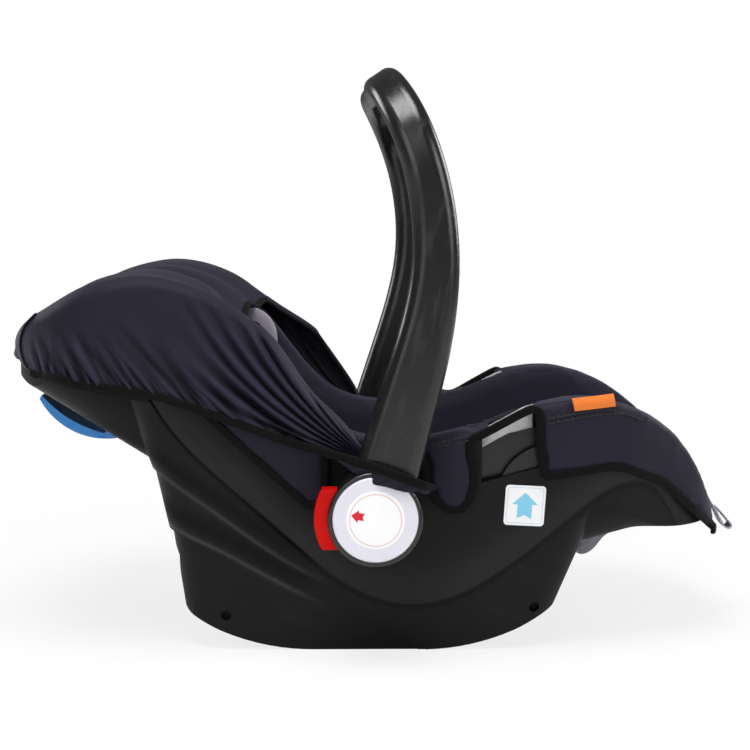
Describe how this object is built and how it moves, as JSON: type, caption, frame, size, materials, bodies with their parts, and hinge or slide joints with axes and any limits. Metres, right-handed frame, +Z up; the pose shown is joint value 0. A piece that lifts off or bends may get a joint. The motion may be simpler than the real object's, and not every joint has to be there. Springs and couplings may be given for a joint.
{
  "type": "infant car seat",
  "caption": "Reclined infant carrier shell on rockers with padded cover, folded hood, harness and a carrying handle that unlocks at two toothed hubs.",
  "frame": {"origin": "middle of the object's footprint on the floor, measured without the free pull strap", "axes": "+X towards the infant's feet, +Y to the infant's left, +Z up"},
  "size_m": [0.7202, 0.4494, 0.5452],
  "materials": {
    "shell_plastic": "black polypropylene, fine satin grain",
    "hook_blue": "bright blue, satin",
    "guide_plastic": "dark grey, satin",
    "steel": "zinc plated",
    "cover_fabric": "dark blue-grey padded fabric with black piping",
    "insert_fabric": "pale lavender-grey jersey",
    "webbing": "woven grey belt",
    "buckle_plastic": "black",
    "button_red": "signal red",
    "adjuster_grey": "grey",
    "cap_silver": "silver paint",
    "gear_plastic": "natural acetal"
  },
  "bodies": {
    "seat": {"seat_shell": "shell_plastic", "belt_hook": "hook_blue", "belt_hook_screws": "steel", "lap_belt_guide_left": "guide_plastic", "lap_belt_guide_right": "guide_plastic", "seat_cover": "cover_fabric", "hood": "cover_fabric", "body_cushion": "insert_fabric", "head_pillow": "insert_fabric", "shoulder_strap_left": "webbing", "shoulder_strap_right": "webbing", "shoulder_pad_left": "cover_fabric", "shoulder_pad_right": "cover_fabric", "buckle_body": "buckle_plastic", "buckle_spring": "steel", "buckle_tongue_left": "steel", "buckle_tongue_right": "steel", "crotch_strap": "webbing", "crotch_anchor": "steel", "adjuster_body": "buckle_plastic", "adjuster_spring": "steel", "adjuster_strap": "webbing", "pull_strap": "webbing", "harness_yoke": "steel", "hub_socket_left": "shell_plastic", "hub_socket_right": "shell_plastic", "pivot_bolt_left": "steel", "pivot_bolt_right": "steel", "pivot_nut_left": "steel", "pivot_nut_right": "steel"},
    "handle": {"carry_handle": "shell_plastic", "hub_cap_left": "cap_silver", "hub_cap_right": "cap_silver", "lock_spring_left": "steel", "lock_spring_right": "steel"},
    "release_left": {"release_button_left": "button_red"},
    "release_right": {"release_button_right": "button_red"},
    "gear_left": {"lock_gear_left": "gear_plastic"},
    "gear_right": {"lock_gear_right": "gear_plastic"},
    "buckle_press": {"buckle_button": "button_red"},
    "adjuster_press": {"adjuster_button": "adjuster_grey"}
  },
  "joints": [
    {"name": "handle_swing", "type": "hinge", "parent": "seat", "child": "handle", "pos_m": [0.0046, 0, 0.139], "axis": [0, 1, 0], "range_deg": [-105, 60]},
    {"name": "release_left_press", "type": "slide", "parent": "handle", "child": "release_left", "axis": [1, 0, 0], "range_m": [0, 0.006], "stiffness_N_per_m": 600, "springref_m": -0.006},
    {"name": "release_right_press", "type": "slide", "parent": "handle", "child": "release_right", "axis": [1, 0, 0], "range_m": [0, 0.006], "stiffness_N_per_m": 600, "springref_m": -0.006},
    {"name": "gear_left_draw", "type": "slide", "parent": "handle", "child": "gear_left", "axis": [0, 1, 0], "range_m": [0, 0.003], "deforming": ["lock_spring_left"]},
    {"name": "gear_right_draw", "type": "slide", "parent": "handle", "child": "gear_right", "axis": [0, -1, 0], "range_m": [0, 0.003], "deforming": ["lock_spring_right"]},
    {"name": "buckle_press_in", "type": "slide", "parent": "seat", "child": "buckle_press", "axis": [-0.7314, 0, -0.682], "range_m": [0, 0.004], "stiffness_N_per_m": 800, "springref_m": -0.004, "deforming": ["buckle_spring"]},
    {"name": "adjuster_press_in", "type": "slide", "parent": "seat", "child": "adjuster_press", "axis": [0, 0, -1], "range_m": [0, 0.005], "stiffness_N_per_m": 700, "springref_m": -0.004, "deforming": ["adjuster_spring"]}
  ],
  "couplings": [
    {"joint": "gear_left_draw", "follows": "release_left_press", "ratio": 0.5},
    {"joint": "gear_right_draw", "follows": "release_right_press", "ratio": 0.5}
  ]
}
